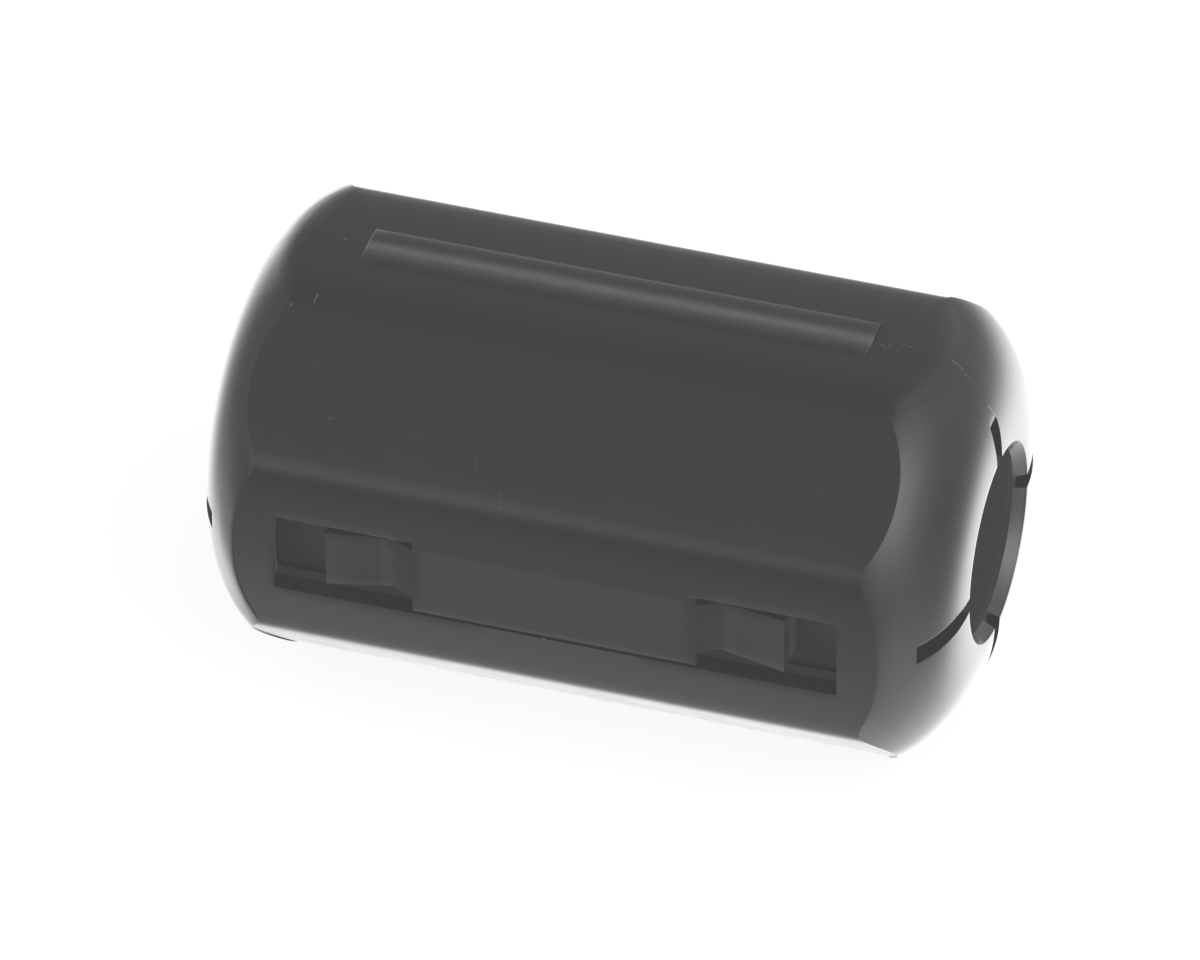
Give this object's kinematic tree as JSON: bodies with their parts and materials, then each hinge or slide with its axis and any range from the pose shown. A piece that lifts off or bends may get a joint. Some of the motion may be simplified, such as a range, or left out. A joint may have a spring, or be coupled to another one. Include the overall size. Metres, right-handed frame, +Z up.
{
  "type": "clip-on ferrite bead",
  "caption": "Barrel-shaped black clip-on ferrite bead: a hinged nylon case with domed ends and side spring windows snaps shut round a cable, holding split ferrite cores.",
  "frame": {"origin": "centre of the latch-side resting face, under the middle of the bead", "axes": "+X along the cable, +Z up through the hinge, the front half lies on the -Y side of the parting plane"},
  "size_m": [0.0304, 0.0174, 0.0176],
  "materials": {
    "case_nylon": "glossy black moulded nylon",
    "ferrite": "dull dark grey sintered ferrite with ground mating faces"
  },
  "bodies": {
    "back": {"back_shell": "case_nylon", "back_core": "ferrite", "hinge_strip": "case_nylon"},
    "front": {"front_shell": "case_nylon", "front_core": "ferrite"}
  },
  "joints": [
    {"name": "case_hinge", "type": "hinge", "parent": "back", "child": "front", "pos_m": [0, 0, 0.01741], "axis": [-1, 0, 0], "range_deg": [0, 175], "deforming": ["hinge_strip"]}
  ]
}
